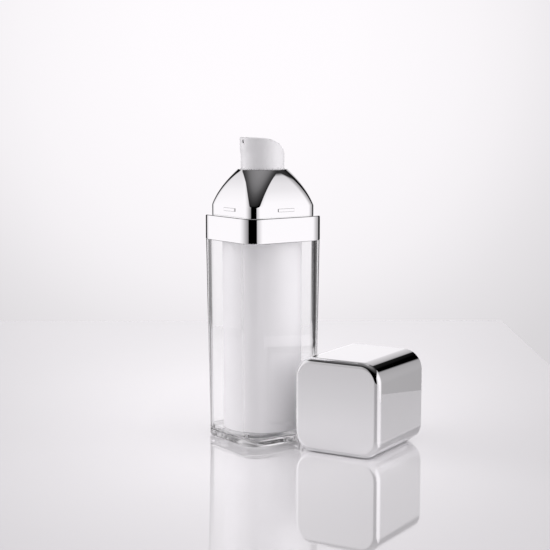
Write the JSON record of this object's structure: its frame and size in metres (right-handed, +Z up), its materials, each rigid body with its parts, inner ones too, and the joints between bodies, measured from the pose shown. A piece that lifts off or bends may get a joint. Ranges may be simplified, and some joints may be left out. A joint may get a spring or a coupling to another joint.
{
  "type": "airless pump bottle",
  "caption": "Square clear-walled airless pump bottle with a white inner vessel, mirror-silver collar and domed shoulder, white press actuator and square mirror cap lying beside it.",
  "frame": {"origin": "middle of the bottle's foot, on its axis, on the surface that it stands on", "axes": "+Z up along the bottle's axis, -Y the way the nozzle points, +X the side where the cap lies"},
  "size_m": [0.0761, 0.0615, 0.1174],
  "materials": {
    "clear_acrylic": "clear, polished, moulded",
    "white_vessel": "white, moulded, satin",
    "white_actuator": "white, moulded, satin gloss",
    "white_liner": "white, moulded",
    "mirror_silver": "moulded, metallised to a silver mirror",
    "soft_white": "natural polyethylene",
    "pump_plastic": "natural polypropylene",
    "spring_steel": "drawn stainless wire",
    "polished_ball": "polished stainless"
  },
  "bodies": {
    "bottle": {"base_plate": "clear_acrylic", "outer_shell": "clear_acrylic", "inner_vessel": "white_vessel", "collar": "mirror_silver", "shoulder": "mirror_silver", "neck_gasket": "soft_white", "pump_housing": "pump_plastic", "pump_cap": "pump_plastic", "closure_ring": "pump_plastic"},
    "pump_stem": {"stem": "pump_plastic", "stem_plug": "pump_plastic", "return_spring": "spring_steel"},
    "actuator": {"actuator": "white_actuator"},
    "ring_piston": {"ring_piston": "soft_white"},
    "check_ball": {"check_ball": "polished_ball"},
    "follower_piston": {"follower_piston": "soft_white"},
    "cap": {"cap_shell": "mirror_silver", "cap_liner": "white_liner"}
  },
  "joints": [
    {"name": "actuator_press", "type": "slide", "parent": "bottle", "child": "pump_stem", "axis": [0, 0, -1], "range_m": [0, 0.004], "stiffness_N_per_m": 1800, "springref_m": -0.002, "deforming": ["return_spring"]},
    {"name": "actuator_swivel", "type": "hinge", "parent": "pump_stem", "child": "actuator", "pos_m": [0, 0, 0.1035], "axis": [0, 0, 1], "continuous": true},
    {"name": "ring_piston_slip", "type": "slide", "parent": "pump_stem", "child": "ring_piston", "axis": [0, 0, 1], "range_m": [0, 0.0007]},
    {"name": "check_ball_lift", "type": "slide", "parent": "bottle", "child": "check_ball", "axis": [0, 0, 1], "range_m": [0, 0.0008]},
    {"name": "follower_rise", "type": "slide", "parent": "bottle", "child": "follower_piston", "axis": [0, 0, 1], "range_m": [0, 0.059]},
    {"name": "cap_lift", "type": "slide", "parent": "bottle", "child": "cap", "axis": [0, 0, 1], "range_m": [0, 0.15]}
  ]
}
